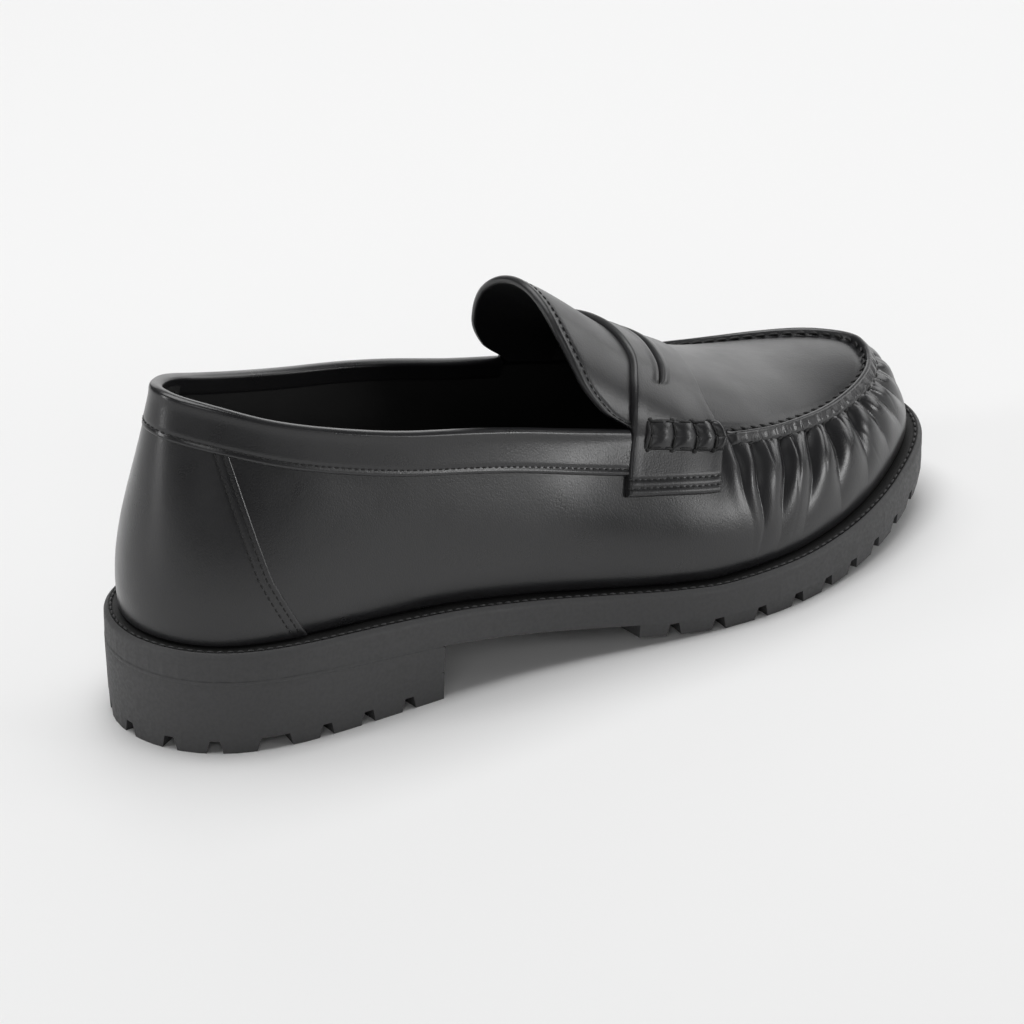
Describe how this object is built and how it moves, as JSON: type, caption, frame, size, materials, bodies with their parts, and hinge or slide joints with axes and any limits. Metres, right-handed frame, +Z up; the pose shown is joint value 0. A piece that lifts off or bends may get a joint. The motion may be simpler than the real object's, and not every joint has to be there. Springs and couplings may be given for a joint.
{
  "type": "chunky lug sole loafer",
  "caption": "Slip-on loafer for one right foot with a moccasin apron, a saddle strap with a slot, a tall tongue and a thick lugged sole with a low block heel.",
  "frame": {"origin": "on the floor, below the middle of the shoe's bounding box", "axes": "+X from the heel towards the toe, +Y towards the inner side of the foot, +Z up from the floor"},
  "size_m": [0.2958, 0.1066, 0.1097],
  "materials": {
    "black_leather": "smooth black leather with a soft polish",
    "welt_leather": "matte black edge with one row of stitches",
    "insole_leather": "matte black lining leather",
    "black_rubber": "matte dark grey-black rubber"
  },
  "bodies": {
    "root": {"upper": "black_leather", "tongue": "black_leather", "saddle_strap": "black_leather", "collar_band": "black_leather", "heel_counter": "black_leather", "apron_seam": "black_leather", "welt": "welt_leather", "insole": "insole_leather", "outsole": "black_rubber", "heel_block": "black_rubber", "heel_top_piece": "black_rubber"}
  },
  "joints": []
}
